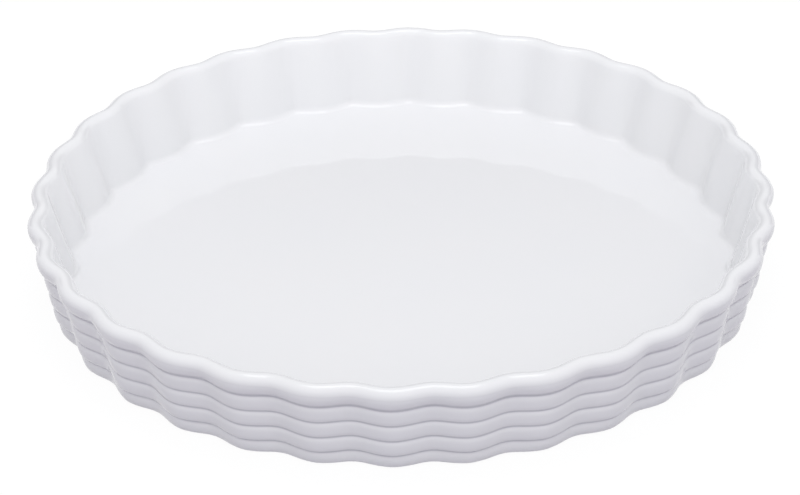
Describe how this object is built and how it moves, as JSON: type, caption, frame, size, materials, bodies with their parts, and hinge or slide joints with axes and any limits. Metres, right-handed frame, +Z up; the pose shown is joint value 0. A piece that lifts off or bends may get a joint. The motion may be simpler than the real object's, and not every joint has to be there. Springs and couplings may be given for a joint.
{
  "type": "fluted quiche dish",
  "caption": "Round shallow fluted baking dish of glazed ceramic, with a beaded rim, grooved outside wall, flat floor and bare foot ring.",
  "frame": {"origin": "on the table, under the centre of the dish, in the plane of the foot ring", "axes": "+Z up along the dish's axis, +X through the crest of one lobe of the rim"},
  "size_m": [0.28, 0.28, 0.035],
  "materials": {
    "fired_body": "matte",
    "white_glaze": "gloss"
  },
  "bodies": {
    "root": {"ceramic_body": "fired_body", "glaze_coat": "white_glaze", "underside_glaze": "white_glaze"}
  },
  "joints": []
}
